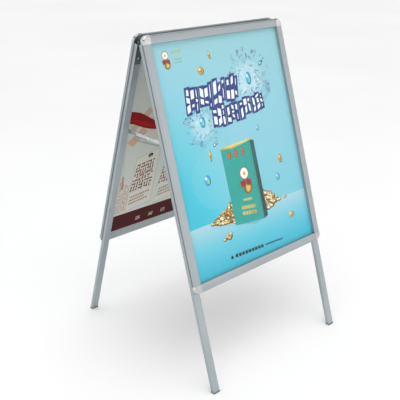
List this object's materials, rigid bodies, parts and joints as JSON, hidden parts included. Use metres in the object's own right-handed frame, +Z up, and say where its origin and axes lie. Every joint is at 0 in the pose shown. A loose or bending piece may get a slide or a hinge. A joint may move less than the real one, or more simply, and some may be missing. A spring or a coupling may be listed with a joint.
{
  "type": "sandwich board",
  "caption": "Folding A-frame pavement sign with a snap-open poster frame on each half, tube legs, top hinges and folding side stays.",
  "frame": {"origin": "on the floor, straight under the middle of the hinge axis of the open board", "axes": "+X along the hinge axis, -Y towards the front half, +Z up"},
  "size_m": [0.64, 0.7242, 1.1306],
  "materials": {
    "base_rail_aluminium": "anodised, satin",
    "snap_rail_aluminium": "anodised, satin, fine extrusion lines",
    "leg_aluminium": "anodised, satin",
    "corner_chrome": "bright plating over moulded plastic",
    "key_zinc": "die-cast zinc, as cast",
    "spring_steel": "tempered strip",
    "screw_steel": "zinc-plated",
    "foot_plastic": "moulded, matt",
    "panel_plastic": "extruded sheet, matt",
    "front_poster_paper": "printed, covered by the clear sheet",
    "rear_poster_paper": "printed, covered by the clear sheet",
    "inner_sheet_paper": "printed",
    "cover_plastic": "clear, slightly glossy",
    "hinge_steel": "zinc-plated, dull",
    "stay_steel": "pressed strip, bright",
    "rivet_steel": "bright"
  },
  "bodies": {
    "front_half": {"front_back_panel": "panel_plastic", "front_base_rail_bottom": "base_rail_aluminium", "front_base_rail_left": "base_rail_aluminium", "front_base_rail_right": "base_rail_aluminium", "front_base_rail_top": "base_rail_aluminium", "front_corner_cap_bottom_left": "corner_chrome", "front_corner_cap_bottom_right": "corner_chrome", "front_corner_cap_top_left": "corner_chrome", "front_corner_cap_top_right": "corner_chrome", "front_corner_keys": "key_zinc", "front_cover_sheet": "cover_plastic", "front_feet": "foot_plastic", "front_hinge_leaf_left": "hinge_steel", "front_hinge_leaf_right": "hinge_steel", "front_hinge_screws": "screw_steel", "front_leg_left": "leg_aluminium", "front_leg_right": "leg_aluminium", "front_leg_screws": "screw_steel", "front_poster": "front_poster_paper", "front_snap_springs": "spring_steel", "front_stay_rivets": "rivet_steel", "hinge_pins": "hinge_steel"},
    "rear_half": {"rear_back_panel": "panel_plastic", "rear_base_rail_bottom": "base_rail_aluminium", "rear_base_rail_left": "base_rail_aluminium", "rear_base_rail_right": "base_rail_aluminium", "rear_base_rail_top": "base_rail_aluminium", "rear_corner_cap_bottom_left": "corner_chrome", "rear_corner_cap_bottom_right": "corner_chrome", "rear_corner_cap_top_left": "corner_chrome", "rear_corner_cap_top_right": "corner_chrome", "rear_corner_keys": "key_zinc", "rear_cover_sheet": "cover_plastic", "rear_feet": "foot_plastic", "rear_hinge_leaf_left": "hinge_steel", "rear_hinge_leaf_right": "hinge_steel", "rear_hinge_screws": "screw_steel", "rear_inner_sheet": "inner_sheet_paper", "rear_leg_left": "leg_aluminium", "rear_leg_right": "leg_aluminium", "rear_leg_screws": "screw_steel", "rear_poster": "rear_poster_paper", "rear_snap_springs": "spring_steel", "rear_stay_rivets": "rivet_steel"},
    "front_flip_bottom": {"front_snap_rail_bottom": "snap_rail_aluminium"},
    "front_flip_left": {"front_snap_rail_left": "snap_rail_aluminium"},
    "front_flip_right": {"front_snap_rail_right": "snap_rail_aluminium"},
    "front_flip_top": {"front_snap_rail_top": "snap_rail_aluminium"},
    "rear_flip_bottom": {"rear_snap_rail_bottom": "snap_rail_aluminium"},
    "rear_flip_left": {"rear_snap_rail_left": "snap_rail_aluminium"},
    "rear_flip_right": {"rear_snap_rail_right": "snap_rail_aluminium"},
    "rear_flip_top": {"rear_snap_rail_top": "snap_rail_aluminium"},
    "stay_front_left": {"stay_front_link_left": "stay_steel", "stay_centre_rivet_left": "rivet_steel"},
    "stay_front_right": {"stay_front_link_right": "stay_steel", "stay_centre_rivet_right": "rivet_steel"},
    "stay_rear_left": {"stay_rear_link_left": "stay_steel", "stay_centre_washer_left": "rivet_steel"},
    "stay_rear_right": {"stay_rear_link_right": "stay_steel", "stay_centre_washer_right": "rivet_steel"}
  },
  "joints": [
    {"name": "fold", "type": "hinge", "parent": "front_half", "child": "rear_half", "pos_m": [0, 0, 1.10752], "axis": [-1, 0, 0], "range_deg": [0, 34.6]},
    {"name": "front_flip_left_open", "type": "hinge", "parent": "front_half", "child": "front_flip_left", "pos_m": [-0.3158, -0.14305, 0.72894], "axis": [0, -0.2974, -0.9548], "range_deg": [0, 90], "stiffness_Nm_per_rad": 0.06, "springref_deg": -34.38},
    {"name": "front_flip_top_open", "type": "hinge", "parent": "front_half", "child": "front_flip_top", "pos_m": [0, -0.0194, 1.12593], "axis": [-1, 0, 0], "range_deg": [0, 90], "stiffness_Nm_per_rad": 0.06, "springref_deg": -34.38},
    {"name": "front_flip_right_open", "type": "hinge", "parent": "front_half", "child": "front_flip_right", "pos_m": [0.3158, -0.14305, 0.72894], "axis": [0, 0.2974, 0.9548], "range_deg": [0, 90], "stiffness_Nm_per_rad": 0.06, "springref_deg": -34.38},
    {"name": "front_flip_bottom_open", "type": "hinge", "parent": "front_half", "child": "front_flip_bottom", "pos_m": [0, -0.2667, 0.33195], "axis": [1, 0, 0], "range_deg": [0, 90], "stiffness_Nm_per_rad": 0.06, "springref_deg": -34.38},
    {"name": "rear_flip_left_open", "type": "hinge", "parent": "rear_half", "child": "rear_flip_left", "pos_m": [-0.3158, 0.14305, 0.72894], "axis": [0, -0.2974, 0.9548], "range_deg": [0, 90], "stiffness_Nm_per_rad": 0.06, "springref_deg": -34.38},
    {"name": "rear_flip_top_open", "type": "hinge", "parent": "rear_half", "child": "rear_flip_top", "pos_m": [0, 0.0194, 1.12593], "axis": [1, 0, 0], "range_deg": [0, 90], "stiffness_Nm_per_rad": 0.06, "springref_deg": -34.38},
    {"name": "rear_flip_right_open", "type": "hinge", "parent": "rear_half", "child": "rear_flip_right", "pos_m": [0.3158, 0.14305, 0.72894], "axis": [0, 0.2974, -0.9548], "range_deg": [0, 90], "stiffness_Nm_per_rad": 0.06, "springref_deg": -34.38},
    {"name": "rear_flip_bottom_open", "type": "hinge", "parent": "rear_half", "child": "rear_flip_bottom", "pos_m": [0, 0.2667, 0.33195], "axis": [-1, 0, 0], "range_deg": [0, 90], "stiffness_Nm_per_rad": 0.06, "springref_deg": -34.38},
    {"name": "stay_front_left_fold", "type": "hinge", "parent": "front_half", "child": "stay_front_left", "pos_m": [-0.2858, -0.10802, 0.79029], "axis": [1, 0, 0], "range_deg": [0, 68.04]},
    {"name": "stay_rear_left_fold", "type": "hinge", "parent": "rear_half", "child": "stay_rear_left", "pos_m": [-0.2835, 0.10802, 0.79029], "axis": [-1, 0, 0], "range_deg": [0, 68.04]},
    {"name": "stay_front_right_fold", "type": "hinge", "parent": "front_half", "child": "stay_front_right", "pos_m": [0.2858, -0.10802, 0.79029], "axis": [1, 0, 0], "range_deg": [0, 68.04]},
    {"name": "stay_rear_right_fold", "type": "hinge", "parent": "rear_half", "child": "stay_rear_right", "pos_m": [0.2835, 0.10802, 0.79029], "axis": [-1, 0, 0], "range_deg": [0, 68.04]}
  ],
  "couplings": [
    {"joint": "stay_front_left_fold", "follows": "fold", "ratio": 1.9661},
    {"joint": "stay_rear_left_fold", "follows": "fold", "ratio": 1.9661},
    {"joint": "stay_front_right_fold", "follows": "fold", "ratio": 1.9661},
    {"joint": "stay_rear_right_fold", "follows": "fold", "ratio": 1.9661}
  ]
}
